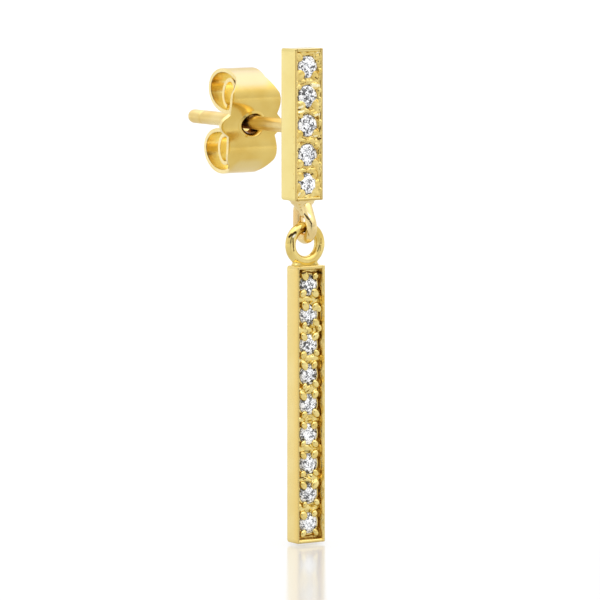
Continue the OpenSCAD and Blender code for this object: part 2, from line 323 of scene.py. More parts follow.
class Coat:
    """A gold's colour and roughness while its painted shade and highlights are laid on, one after another."""

    def __init__(self, tree: Tree, gold: Gold) -> None:
        """Starts with the clouded colour and the uneven polish.

        Args:
            tree: the material's tree.
            gold: the finish.
        """
        self.tree = tree
        self.place = tree.place()
        cloud = tree.grain(self.place, gold.cloud, 3.0)
        self.speck = tree.grain(self.place, gold.grit * 2.2, 2.0)
        self.colour = tree.blend(tree.step(cloud, 0.3, 0.75), gold.colour, gold.deep)
        self.rough = (gold.rough + (cloud - 0.5) * gold.rough_spread
                      + (self.speck - 0.5) * (gold.rough_spread * 0.7))

    def lay(self, share: Sock, colour: Colour) -> None:
        """Lays a colour over what is there."""
        self.colour = self.tree.blend(share, self.colour, colour)

    def hollow(self, hole: Recess) -> None:
        """Paints shade into a bar's channel and into a pit here and there, and paints shade on its rim and
        edges.

        Args:
            hole: where the channel is.
        """
        # Each pair of numbers below is where a soft edge starts and ends, in mm.
        rise, fall = self.tree.rise, self.tree.fall
        x, y, z = self.tree.parts(self.place)
        side = abs(x)
        off = abs(z - (hole.low + hole.high) / 2 * MM)
        tall, half, floor = (hole.high - hole.low) / 2, hole.width / 2, hole.front + hole.depth
        low = rise(y, hole.front + hole.start * hole.depth, hole.front + 0.95 * hole.depth)
        inside = (fall(side, hole.half - 0.02, hole.half + 0.05) * fall(off, tall - 0.14, tall - 0.08)
                  * fall(y, floor + 0.2, floor + 0.3))
        # Painted shade: darker deeper in the channel, broken by noise, and darker still in a pit here and
        # there.
        channel_shade_mask = low * inside * (0.8 + (self.speck - 0.5) * 1.1) * hole.share
        pit_shade_mask = self.tree.step(self.speck, 0.62, 0.70) * inside * rise(y, hole.front + 0.02, hole.front + 0.2)
        self.lay(channel_shade_mask, hole.colour)
        self.lay(pit_shade_mask * 0.8, hole.pit)
        self.rough = self.rough + channel_shade_mask * 0.15
        if hole.rim is None:
            return
        # Painted shade on the rim: a darker colour on its face and its keen corner, and fine dark lines round
        # it and along the channel's edge.
        face = fall(y, hole.front + hole.slope + 0.02, hole.front + hole.slope + 0.06)
        rim, inner = (fall(side, half - far, half - near) * fall(off, tall - far, tall - near)
                      for far, near in ((0.045, 0.015), (0.085, 0.06)))
        edge = rise(side, half - 0.06, half - 0.02) * fall(y, hole.front, hole.front + hole.keen_depth)
        seam = rise(side, hole.half - 0.035, hole.half - 0.01) - rise(side, hole.half + 0.02, hole.half + 0.045)
        self.lay(edge * (1.0 - rim), hole.keen)
        self.lay(face * rim * 0.9, hole.rim)
        for line in (rim - inner, seam):
            self.lay(face * line * hole.line_share, hole.line)
        self.rough = self.rough + face * rim * 0.06

    def darken(self, bore: Bore) -> None:
        """Paints shade into the inside of a hole.

        Args:
            bore: where the hole is.
        """
        x, y, z = self.tree.parts(self.place)
        up = z - bore.middle * MM
        reach = (x * x + up * up) ** 0.5
        end = bore.start + bore.length
        inside = (self.tree.fall(reach, bore.reach - 0.05, bore.reach + 0.02)
                  * self.tree.rise(y, bore.start, bore.start + 0.12) * self.tree.fall(y, end, end + 0.25))
        self.lay(inside * 0.95, bore.colour)

    def mark(self, streak: Streak) -> None:
        """Paints one streak of shade, reflection or highlight along its line. Fine noise breaks its edge.

        Args:
            streak: the mark.
        """
        start = Vector(streak.start) * MM
        way = Vector(streak.end) * MM - start
        gone = [p - s for p, s in zip(self.tree.parts(self.place), start)]
        parts = [d * w for d, w in zip(gone, way)]
        along = (parts[0] + parts[1] + parts[2]) * (1.0 / way.length_squared)
        share = self.tree.node("ShaderNodeClamp", {}, {"Value": along, "Min": 0.0, "Max": 1.0})
        off = [d - share * w for d, w in zip(gone, way)]
        gap = (off[0] * off[0] + off[1] * off[1] * (0.0 if streak.through else 1.0) + off[2] * off[2]) ** 0.5
        ragged = (self.speck - 0.5) * (streak.width * streak.ragged * MM)
        line = self.tree.fall(gap + ragged, streak.width * 0.3, streak.width * 0.65)
        self.lay(line * streak.share, streak.colour)


@dataclass(frozen=True)
class CutStone:
    """Clear cut stones in a row: the light shining back through the crown is painted in as a star of light and
    dark wedges.

    Sizes are in mm: radius is the stone's, pitch the row's, middle the height of one stone and patch the size
    of the net. wedges says how many wedges the star has round a turn, and rings how many rings there are to a
    radius. gloom is taken off the painted light all over, and gloss is the index of refraction. rim is the
    painted shade round the girdle, and glow makes the painted colours glow.
    """

    name: str
    radius: float
    pitch: float
    middle: float
    patch: float = 0.16
    rings: float = 3.2
    wedges: int = 16
    gloom: float = 0.035
    rough: float = 0.05
    gloss: float = 2.0
    glow: float = 0.22
    white: Colour = (0.97, 0.98, 1.0)
    pale: Colour = (0.66, 0.68, 0.71)
    grey: Colour = (0.25, 0.26, 0.28)
    dark: Colour = (0.02, 0.02, 0.022)
    rim: Colour = (0.05, 0.045, 0.04)

    def make(self) -> bpy.types.Material:
        """Builds the material: a painted star of wedges, broken up by a net of small patches, with a painted
        dark rim and a glow, under a hard gloss.

        Returns:
            The material.
        """
        material, tree = new_material(self.name)
        place = tree.place()
        x, _, z = tree.parts(place)
        row = (z - self.middle * MM) / (self.pitch * MM)
        number = round(row)
        up = (row - number) * (self.pitch / self.radius)
        across = x / (self.radius * MM)
        reach = (up * up + across * across) ** 0.5
        ring = math.floor(reach * self.rings)
        wedge = math.floor(across.angle_from(up) * (self.wedges / math.tau) + ring * 0.5)
        star = tree.node("ShaderNodeTexWhiteNoise", {"noise_dimensions": "3D"}, {
            "Vector": tree.node("ShaderNodeCombineXYZ", {}, {0: wedge, 1: ring, 2: number})})
        coarse, fine, line = (
            tree.node("ShaderNodeTexVoronoi", {"feature": kind},
                      {"Vector": place, "Scale": share / (self.patch * MM)}, out=out)
            for kind, share, out in (("F1", 1.0, "Color"), ("F1", 2.2, "Color"),
                                     ("DISTANCE_TO_EDGE", 1.0, "Distance")))
        coarse, fine = tree.parts(coarse), tree.parts(fine)
        light = star * 0.34 + coarse[0] * 0.34 + fine[1] * 0.32 - self.gloom
        colour = tree.node("ShaderNodeValToRGB", {"stops": [
            (0.0, self.dark), (0.35, self.dark), (0.375, self.grey), (0.41, self.pale), (0.445, self.white),
            (1.0, self.white)]}, {0: light})
        # Painted dark reflections along the patches' edges, and painted shade round the girdle.
        shade = (1.0 - tree.step(line, 0.03, 0.11)) * tree.step(coarse[2], 0.25, 0.5) * 0.8
        rim = tree.step(reach, 0.91, 0.98) * 0.65
        colour = tree.blend(shade, colour, self.dark)
        colour = tree.blend(rim, colour, self.rim)
        # The painted colour also glows: painted light, though the stone is no lamp.
        tree.surface({"Base Color": colour, "Roughness": self.rough, "IOR": self.gloss,
                      "Emission Color": colour, "Emission Strength": self.glow})
        return material


@dataclass(frozen=True)
class PaleFloor:
    """A plain pale floor, lit from below like a light table, with a faint gloss."""

    name: str
    colour: Colour = (0.36, 0.36, 0.36)
    glow: float = 0.31
    rough: float = 0.14

    def make(self) -> bpy.types.Material:
        """Builds the floor's material.

        Returns:
            The material.
        """
        material, tree = new_material(self.name)
        cloud = tree.grain(tree.place(), 60.0, 2.0)
        tree.surface({"Base Color": (*self.colour, 1.0), "Roughness": self.rough + (cloud - 0.5) * 0.02,
                      "Emission Color": (1.0, 1.0, 1.0, 1.0), "Emission Strength": self.glow})
        return material


# --- workbench ---

UP = Vector((0.0, 0.0, 1.0))
ACROSS = Vector((1.0, 0.0, 0.0))


def facing(place: Vector, way: Vector) -> Matrix:
    """A matrix at a place, whose own Z looks along way."""
    return Matrix.Translation(place) @ way.to_track_quat("Z", "Y").to_matrix().to_4x4()


def add_object(name: str, data: bpy.types.ID) -> bpy.types.Object:
    """Makes an object and puts it in the scene.

    Args:
        name: its name.
        data: its mesh, light or camera.

    Returns:
        The object.
    """
    made = bpy.data.objects.new(name, data)
    bpy.context.scene.collection.objects.link(made)
    return made


def corners_of(geom: Iterable[Any]) -> list[bmesh.types.BMVert]:
    """The corners in what an operator hands back."""
    return [g for g in geom if isinstance(g, bmesh.types.BMVert)]


def edges_of(geom: Iterable[Any]) -> list[bmesh.types.BMEdge]:
    """The edges in what an operator hands back."""
    return [g for g in geom if isinstance(g, bmesh.types.BMEdge)]


class Workpiece:
    """A mesh under construction, in millimetres, shaped by bmesh operators."""

    def __init__(self) -> None:
        """Starts with nothing."""
        self.bm = bmesh.new()

    def ball(self, centre: Vector, radii: Vector, turn: Optional[Euler] = None, detail: int = 3) -> None:
        """Adds a closed ball, stretched and turned."""
        matrix = Matrix.LocRotScale(centre, turn or Euler((0.0, 0.0, 0.0)), radii)
        bmesh.ops.create_icosphere(self.bm, subdivisions=detail, radius=1.0, matrix=matrix)

    def block(self, low: Vector, high: Vector) -> None:
        """Adds a box between two corners."""
        bmesh.ops.create_cube(self.bm, size=1.0, matrix=Matrix.LocRotScale((low + high) / 2, None, high - low))

    def circle(self, centre: Vector, way: Vector, radius: float, sides: int) -> list[Any]:
        """Adds a circle of wire whose plane faces a way.

        Args:
            centre: its middle.
            way: the way that its plane faces.
            radius: its radius.
            sides: how many sides it has.

        Returns:
            Its corners and edges.
        """
        matrix = facing(centre, way)
        made = bmesh.ops.create_circle(self.bm, segments=sides, radius=radius, matrix=matrix)["verts"]
        return made + list(dict.fromkeys(e for v in made for e in v.link_edges))

    def full_turn(self, geom: list[Any], centre: Vector, steps: int) -> None:
        """Spins corners and edges once round an axis along Y, and welds the seam."""
        bmesh.ops.spin(self.bm, geom=geom, cent=centre, axis=(0.0, 1.0, 0.0), steps=steps, angle=math.tau,
                       use_merge=True)
        self.weld()

    def hoop(self, centre: Vector, radius: float, wire: float, steps: int = 48, sides: int = 16) -> None:
        """Adds a closed ring of round wire about an axis along Y through centre."""
        self.full_turn(self.circle(centre + UP * radius, ACROSS, wire, sides), centre, steps)

    def turned(self, profile: Iterable[tuple[float, float]], steps: int = 64) -> None:
        """Turns a profile about the Y axis.

        Args:
            profile: radius and place along Y of each turn.
            steps: how many sides the turned form has.
        """
        verts = [self.bm.verts.new((0.0, place, radius)) for radius, place in profile]
        edges = [self.bm.edges.new(pair) for pair in zip(verts, verts[1:])]
        self.full_turn(verts + edges, Vector(), steps)

    def cut_flat(self, height: float, way: int) -> None:
        """Cuts off what lies beyond a level plane and closes the cut.

        Args:
            height: the plane's height.
            way: 1 to cut off what is above it, -1 for what is below.
        """
        geom = self.bm.verts[:] + self.bm.edges[:] + self.bm.faces[:]
        bmesh.ops.bisect_plane(self.bm, geom=geom, dist=1e-5, plane_co=(0, 0, height), plane_no=(0, 0, way),
                               clear_outer=True)
        bmesh.ops.holes_fill(self.bm, edges=[e for e in self.bm.edges if e.is_boundary], sides=0)

    def weld(self, distance: float = 1e-4) -> None:
        """Merges corners that lie on each other and turns every face outwards."""
        bmesh.ops.remove_doubles(self.bm, verts=self.bm.verts, dist=distance)
        bmesh.ops.recalc_face_normals(self.bm, faces=self.bm.faces)

    def round_edges(self, edges: list[bmesh.types.BMEdge], width: float, steps: int) -> None:
        """Rounds edges off with a bevel."""
        bmesh.ops.bevel(self.bm, geom=edges, offset=width, offset_type="OFFSET", segments=steps, profile=0.5,
                        affect="EDGES", material=-1, clamp_overlap=True)

    def lean(self, degrees: float, about: Vector, shift: Vector) -> None:
        """Leans the work about a line along X, then shifts it.

        Args:
            degrees: how far it leans.
            about: a point on the line.
            shift: the shift.
        """
        turn = Matrix.Rotation(math.radians(degrees), 3, "X")
        bmesh.ops.rotate(self.bm, verts=self.bm.verts, cent=about, matrix=turn)
        bmesh.ops.translate(self.bm, verts=self.bm.verts, vec=shift)

    def fuse(self, voxel: float = 0.032, smoothing: int = 4) -> None:
        """Melts overlapping closed forms into one skin, as casting and solder do.

        Args:
            voxel: size of the grid that the skin is taken from, in mm.
            smoothing: how many times the skin is smoothed.
        """
        mesh = bpy.data.meshes.new("melt")
        self.bm.to_mesh(mesh)
        melt = add_object("melt", mesh)
        remesh = melt.modifiers.new("skin", "REMESH")
        remesh.mode = "VOXEL"
        remesh.voxel_size = voxel
        remesh.adaptivity = 0.0
        found = melt.evaluated_get(bpy.context.evaluated_depsgraph_get())
        skin = bpy.data.meshes.new_from_object(found)
        self.bm.clear()
        self.bm.from_mesh(skin)
        bpy.data.objects.remove(melt)
        bpy.data.meshes.remove(mesh)
        bpy.data.meshes.remove(skin)
        self.keep_largest()
        for _ in range(smoothing):
            bmesh.ops.smooth_vert(self.bm, verts=self.bm.verts, factor=0.5, use_axis_x=True, use_axis_y=True,
                                  use_axis_z=True)

    def keep_largest(self) -> None:
        """Takes away loose crumbs and closed bubbles, so that one skin is left."""
        left = set(self.bm.verts)
        skins = []
        while left:
            front = [left.pop()]
            skin = []
            while front:
                v = front.pop()
                skin.append(v)
                near = [w for e in v.link_edges if (w := e.other_vert(v)) in left]
                left.difference_update(near)
                front.extend(near)
            skins.append(skin)
        skins.sort(key=len)
        crumbs = [v for skin in skins[:-1] for v in skin]
        bmesh.ops.delete(self.bm, geom=crumbs, context="VERTS")

    def move_by(self, shift: Callable[[Vector], Vector]) -> None:
        """Moves every corner by what shift gives for its place."""
        for v in self.bm.verts:
            v.co += shift(v.co)

    def finish(self, name: str, material: bpy.types.Material, body: Body, slot: Slot,
               sharp: float = 40.0) -> bpy.types.Object:
        """Makes the object in metres, smooth but for edges sharper than an angle, and sets it riding.

        Args:
            name: the piece's name.
            material: its finish.
            body: the body that it moves with.
            slot: the record's slot that the finish stands for; not used.
            sharp: edges that turn by more than this many degrees stay sharp.

        Returns:
            The finished object.
        """
        bmesh.ops.scale(self.bm, vec=(MM, MM, MM), verts=self.bm.verts)
        mesh = bpy.data.meshes.new(name)
        self.bm.to_mesh(mesh)
        self.bm.free()
        mesh.shade_smooth()
        mesh.set_sharp_from_angle(angle=math.radians(sharp))
        mesh.materials.append(material)
        piece = add_object(name, mesh)
        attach(piece, body.value)
        LOG.info("%s: %d faces, on %s", name, len(mesh.polygons), body.value)
        return piece


def wobble(place: Vector, size: float, amount: float, seed: float = 0.0) -> Vector:
    """A smooth random shift of up to about amount, with waves about size long."""
    return noise.noise_vector(place / size + Vector((seed, seed * 1.7, -seed))) * amount


def stone_centres(prefix: str, count: int) -> list[tuple[Vector, float]]:
    """Measures a row of stones on the CAD nodes.

    Args:
        prefix: the nodes' name without its number.
        count: how many stones the row has.

    Returns:
        The centre of each stone's box and its radius across, in mm.
    """
    found = []
    for i in range(1, count + 1):
        low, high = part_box(f"{prefix}_{i}")
        found.append(((low + high) / 2 / MM, (high.x - low.x) / 2 / MM))
    return found


# --- bars ---


@dataclass
class Bar:
    """A bar with a channel in its face, and the claws, seats and floor that hold its stones.

    Sizes are in mm. rim and end_rim are the rim's width along the sides and at the ends, and flat is how far
    it is level before its slope. channel and girdle are the depths of the channel and of the stones' widest
    level. claw_out, claw_angle and claw_low place the claws' heads, push says how far each of a stone's four is
    pushed in, and spread how uneven they are. ridge is the height and ridge_tall the width of what is raised
    between stones, at ridge_marks across. lumps are (x, z, half width, half height). The wavy rim has a corner
    each wave_step, mouth is the rounding of its inner edge, overlap is how far the setting reaches into the
    bar's own metal, and skin is the melt's grid. work is the setting while it is made, and chance the source of
    its unevenness.
    """

    name: str
    body: Body
    slot: Slot
    node: str
    stones: str
    count: int
    depth: float
    back: float
    low: float
    high: float
    rim: float
    end_rim: float
    slope: float
    flat: float
    channel: float
    girdle: float
    claw_out: float
    claw_angle: float
    claw_low: float
    head: float
    ridge: float
    ridge_tall: float
    ridge_marks: tuple[float, ...]
    spread: float
    push: tuple[tuple[float, float, float, float], ...]
    lumps: tuple[tuple[float, float, float, float], ...]
    metal: Gold
    inner: Gold
    seed: int
    end_lumps: tuple[float, ...] = ()
    strip: float = 0.0
    strip_low: float = 0.15
    width: float = BAR_WIDTH
    corner: float = 0.17
    edge: float = 0.035
    mouth: float = 0.022
    wave_step: float = 0.14
    seat_wire: float = 0.085
    seat_gap: float = 0.045
    seat_low: float = 0.06
    lump_low: float = 0.13
    lump_depth: float = 0.12
    floor_thick: float = 0.14
    overlap: float = 0.03
    skin: float = 0.03
    work: Workpiece = field(init=False)
    chance: random.Random = field(init=False)

    @property
    def front(self) -> float:
        """Place of the rim on Y."""
        return self.back - self.depth

    @property
    def half(self) -> float:
        """Half the channel's width."""
        return self.width / 2 - self.rim

    @property
    def floor(self) -> float:
        """Place of the channel's floor on Y."""
        return self.front + self.channel

    def build(self) -> None:
        """Builds the bar's own metal and the setting inside its channel."""
        shell = self.shell().finish(f"{self.name}_shell", self.metal.make(), self.body, self.slot, 50.0)
        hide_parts(self.node)
        self.setting().finish(f"{self.name}_setting", self.inner.make(), self.body, self.slot, 80.0)

    def shell(self) -> Workpiece:
        """Cuts the bar: a box with rounded back corners, its face cut to a rim, a slope and a channel.

        Returns:
            The bar's own metal.
        """
        work = Workpiece()
        half = self.width / 2
        work.block(Vector((-half, self.front, self.low)), Vector((half, self.back, self.high)))
        bm = work.bm
        back = [e for e in bm.edges if all(abs(v.co.y - self.back) < 1e-4 for v in e.verts)
                and abs(e.verts[0].co.z - e.verts[1].co.z) < 1e-4]
        work.round_edges(back, self.corner, 6)
        keen = [e for e in bm.edges if len(e.link_faces) == 2 and e.calc_face_angle() > math.radians(60)]
        work.round_edges(keen, self.edge, 3)
        face = max((f for f in bm.faces if f.normal.y < -0.99), key=lambda f: f.calc_area())
        steps = [(self.edge, self.flat, self.flat, 0.0), (self.flat, self.rim, self.end_rim, self.slope)]
        for before, side, end, drop in steps:
            bmesh.ops.inset_region(bm, faces=[face], thickness=side - before, depth=0.0, use_even_offset=True)
            for v in face.verts:
                v.co.y = self.front + drop
                v.co.z = self.low + end if v.co.z < (self.low + self.high) / 2 else self.high - end
        made = bmesh.ops.extrude_face_region(bm, geom=[face])["geom"]
        if face.is_valid:
            bmesh.ops.delete(bm, geom=[face], context="FACES_ONLY")
        bmesh.ops.translate(bm, verts=corners_of(made), vec=(0.0, self.channel - self.slope + 0.02, 0.0))
        mouth = [e for e in bm.edges if all(abs(v.co.y - self.front - self.slope) < 1e-4 for v in e.verts)
                 and all(abs(v.co.x) < self.half + 1e-3 for v in e.verts)]
        work.round_edges(mouth, self.mouth, 2)
        long = [e for e in bm.edges if abs(e.verts[0].co.z - e.verts[1].co.z) > 1.0]
        cuts = int((self.high - self.low) / self.wave_step)
        bmesh.ops.subdivide_edges(bm, edges=long, cuts=cuts, use_grid_fill=True)
        work.move_by(self.burnish)
        work.weld(1e-5)
        return work

    def burnish(self, place: Vector) -> Vector:
        """How the setter's tools have pushed the channel's inner edges about.

        Args:
            place: a corner's place.

        Returns:
            Its shift.
        """
        if abs(place.x) > self.half + 0.04 or place.y > self.floor:
            return Vector()
        share = 1.0 if abs(place.x) < self.half + 0.012 else 0.35
        near_end = min(place.z - self.low, self.high - place.z)
        share *= min(1.0, max(0.0, (near_end - self.end_rim * 0.9) / 0.4))
        push = wobble(place, 0.55, 0.05, self.seed) + wobble(place, 0.2, 0.028, self.seed + 5.0)
        return Vector((push.x, push.y * 0.8 if place.y < self.front + 0.6 * self.channel else 0.0, 0.0)) * share

    def setting(self) -> Workpiece:
        """Melts the floor, the seats, the claws and the ridges into one skin.

        Returns:
            The setting.
        """
        self.work, self.chance = Workpiece(), random.Random(self.seed)
        reach, end = self.half + self.overlap, self.end_rim - self.overlap
        self.work.block(Vector((-reach, self.floor, self.low + end)),
                        Vector((reach, self.floor + self.floor_thick, self.high - end)))
        stones = stone_centres(self.stones, self.count)
        level = self.front + self.girdle
        for (centre, radius), pushes in zip(stones, self.push):
            seat = Vector((0.0, level + self.seat_low, centre.z))
            self.work.hoop(seat, radius + self.seat_gap, self.seat_wire, 32, 10)
            for (sx, sz), push in zip(((-1, 1), (1, 1), (-1, -1), (1, -1)), pushes):
                self.add_claw(centre.z, radius, sx, sz, push)
        between = [(upper.z + lower.z) / 2 for (upper, _), (lower, _) in zip(stones, stones[1:])]
        for z in (*between, *self.end_lumps):
            self.add_ridge(z)
        for x, z, wide, tall in self.lumps:
            self.work.ball(Vector((x, self.front + self.lump_low, z)), Vector((wide, self.lump_depth, tall)))
        if self.strip:
            self.add_strips()
        self.work.fuse(self.skin, 3)
        return self.work

    def add_strips(self) -> None:
        """Leaves metal along both side walls, uneven from place to place."""
        apart = 0.16
        for n in range(int((self.high - self.low - 2 * self.end_rim) / apart)):
            z = self.low + self.end_rim + (n + 0.5) * apart
            for sx in (-1, 1):
                size = self.strip * self.chance.uniform(0.7, 1.15)
                y = self.front + self.strip_low + self.chance.uniform(-0.02, 0.03)
                place = Vector((sx * (self.half + 0.02), y, z))
                self.work.ball(place, Vector((size, size * 1.2, 0.17)), detail=2)

    def uneven(self, least: float, most: float) -> float:
        """A random share between two bounds, which spread widens."""
        return self.chance.uniform(least, most) * self.spread

    def add_claw(self, z: float, radius: float, sx: int, sz: int, push: float) -> None:
        """Sets one claw: a stem from the floor and a head that leans over the stone.

        Args:
            z: the stone's height.
            radius: the stone's radius.
            sx: -1 for the left claw, 1 for the right.
            sz: -1 for the lower claw, 1 for the upper.
            push: how far the head is pushed in over the stone.
        """
        angle = math.radians(self.claw_angle + self.uneven(-4.0, 4.0))
        out = Vector((sx * math.cos(angle), 0.0, sz * math.sin(angle)))
        reach = radius + self.claw_out + self.uneven(-0.02, 0.02)
        size = self.head * (1.0 + self.uneven(-0.1, 0.08))
        head_y = self.front + self.claw_low + size * 0.8 + self.chance.uniform(-0.01, 0.03)
        turn = Euler((0.0, -math.atan2(out.z, out.x), 0.0))
        head = Vector((0.0, head_y, z)) + out * (reach - push * 0.6)
        long = size * (1.0 + self.uneven(0.0, 0.12)) + push * 0.5
        wide = size * (0.95 + self.uneven(-0.06, 0.04)) + push * 0.3
        self.work.ball(head, Vector((long, size * 0.8, wide)), turn)
        foot = Vector((0.0, self.floor, z)) + out * (reach + 0.04)
        self.work.ball((head + foot) / 2, Vector((size * 1.05, (foot - head).length * 0.75, size)), turn)

    def add_ridge(self, z: float) -> None:
        """Raises metal between two stones, uneven from side to side.

        Args:
            z: the ridge's height on the bar.
        """
        chance = self.chance.uniform
        for x in self.ridge_marks:
            height = self.ridge * chance(0.6, 1.05)
            wide = min(1.44 / len(self.ridge_marks), 0.86 - abs(x))
            radii = Vector((wide, height, self.ridge_tall * chance(0.8, 1.3)))
            turn = Euler((0.0, chance(-0.5, 0.5), 0.0))
            place = Vector((x + chance(-0.05, 0.05), self.floor, z + chance(-0.06, 0.06)))
            self.work.ball(place, radii, turn)


# --- post, loop and ring ---


@dataclass
class Post:
    """The post behind the stud bar, with its fillet, its groove and its round tip. Sizes in mm."""

    metal: Gold
    radius: float = 0.4
    length: float = 11.05
    fillet: float = 0.15
    groove: float = 1.5
    groove_width: float = 0.24
    groove_depth: float = 0.03

    def build(self) -> None:
        """Turns the post."""
        work = Workpiece()
        work.turned(self.profile())
        work.finish("post", self.metal.make(), Body.STUD, Slot.STUD, 60.0)

    def profile(self) -> list[tuple[float, float]]:
        """Draws the post from inside the bar to its tip.

        Returns:
            Radius and place of each turn.
        """
        r, f = self.radius, self.fillet
        line = [(0.0, -0.2), (r + f, -0.2), (r + f, -0.01)]
        line += [(r + f * (1 - math.sin(t)), f * 1.4 * (1 - math.cos(t))) for t in (0.3, 0.6, 0.9, 1.2, 1.5)]
        line += [(r, y) for y in (0.5, 1.5, 3.0, 4.5, 6.0, 7.5, 9.0)]
        middle = self.length - self.groove
        for k in range(-4, 5):
            dip = self.groove_depth * (0.5 + 0.5 * math.cos(math.pi * k / 4))
            line.append((r - dip, middle + self.groove_width / 2 * k / 4))
        line.append((r, self.length - r - 0.1))
        for k in range(9):
            t = math.pi / 2 * k / 8
            line.append((r * math.cos(t), self.length - r + r * math.sin(t)))
        return line


@dataclass
class StudLoop:
    """The leaning loop under the stud bar and the solder that holds it. Sizes in mm.

    solder lists its balls from the bar down: how far down, in joint heights, and how wide, deep and tall, in
    shares of the joint's radius and height. The wire is sunk into the bar, and what is melted is trimmed inside
    the bar, trim above its underside.
    """

    metal: Gold
    wire: float = 0.31
    low_radius: float = 0.68
    top_radius: float = 0.48
    height: float = 1.98
    lean: float = 13.0
    pivot: tuple[float, float] = (-0.73, -4.29)
    joint_radius: float = 0.58
    joint_height: float = 0.36
    sunk: float = 0.09
    trim: float = 0.12
    solder: tuple[tuple[float, float, float, float], ...] = (
        (-0.1, 1.45, 1.24, 0.6), (0.3, 1.2, 1.1, 0.8), (0.7, 0.95, 0.92, 0.85), (1.15, 0.7, 0.72, 0.95),
        (1.6, 0.52, 0.56, 0.9), (1.98, 0.42, 0.5, 0.82))

    def build(self) -> None:
        """Bends the loop, leans it, adds the solder and melts them together."""
        work = Workpiece()
        self.bend(work)
        work.lean(-self.lean, Vector(), Vector((0.0, *self.pivot)))
        joint, tall_joint = self.joint_radius, self.joint_height
        bottom = self.pivot[1] + self.wire - self.sunk
        for share, wide, deep, tall in self.solder:
            centre = Vector((0.0, self.pivot[0] - 0.1 * share, bottom - tall_joint * share))
            work.ball(centre, Vector((joint * wide, joint * deep, tall_joint * tall)))
        work.fuse()
        work.cut_flat(bottom + self.trim, 1)
        work.finish("stud_loop", self.metal.make(), Body.STUD, Slot.STUD, 80.0)

    def bend(self, work: Workpiece) -> None:
        """Bends round wire into two arcs joined by two straight legs, hanging from the origin along -Z.

        Args:
            work: where the wire goes.
        """
        span = self.height - self.low_radius - self.top_radius
        taper = math.asin((self.low_radius - self.top_radius) / span)
        leg = span * math.cos(taper)
        low_centre = Vector((0.0, 0.0, -self.top_radius - span))
        top_centre = Vector((0.0, 0.0, -self.top_radius))
        out = Vector((0.0, math.cos(taper), math.sin(taper)))
        geom = work.circle(top_centre + out * self.top_radius, ACROSS.cross(out), self.wire, 16)
        turns = ((top_centre, math.pi - 2 * taper, 18), (low_centre, math.pi + 2 * taper, 26))
        for centre, angle, steps in turns:
            made = bmesh.ops.spin(work.bm, geom=geom, cent=centre, axis=(1, 0, 0), steps=steps, angle=angle)
            ends = corners_of(made["geom_last"])
            middle = sum((v.co for v in ends), Vector()) / len(ends)
            ahead = ACROSS.cross((middle - centre).normalized())
            grown = bmesh.ops.extrude_edge_only(work.bm, edges=edges_of(made["geom_last"]))["geom"]
            moved = corners_of(grown)
            bmesh.ops.translate(work.bm, verts=moved, vec=ahead * leg)
            geom = moved + [e for e in edges_of(grown) if all(v in moved for v in e.verts)]
        work.weld(2e-3)


@dataclass
class DropRing:
    """The ring on the drop bar's top and the solder under it. Sizes in mm.

    shoulders lists the solder's balls at either side: how far out, how high and how large.
    """

    metal: Gold
    centre: tuple[float, float] = (-1.022, -6.552)
    radius: float = 0.97
    wire: float = 0.305
    bar_top: float = -7.737
    joint_width: float = 1.16
    shoulders: tuple[tuple[float, float, float], ...] = ((0.62, 0.05, 0.17), (0.45, 0.1, 0.2), (0.28, 0.1, 0.2))

    def build(self) -> None:
        """Turns the ring, adds its solder and melts them together."""
        work = Workpiece()
        y, z = self.centre
        work.hoop(Vector((0.0, y, z)), self.radius, self.wire, 72, 20)
        work.move_by(lambda place: wobble(place, 0.8, 0.012, 3.0))
        half, deep, top = self.joint_width * 0.68, self.wire * 0.8, self.bar_top
        work.block(Vector((-half, y - deep, top - 0.1)), Vector((half, y + deep, top + 0.07)))
        for sx in (-1, 1):
            for reach, rise, size in self.shoulders:
                work.ball(Vector((sx * reach, y, top + rise)), Vector((size * 1.2, self.wire * 0.85, size)))
        work.fuse()
        work.cut_flat(top - 0.06, -1)
        work.finish("drop_ring", self.metal.make(), Body.DROP, Slot.DROP, 80.0)


# --- nut ---


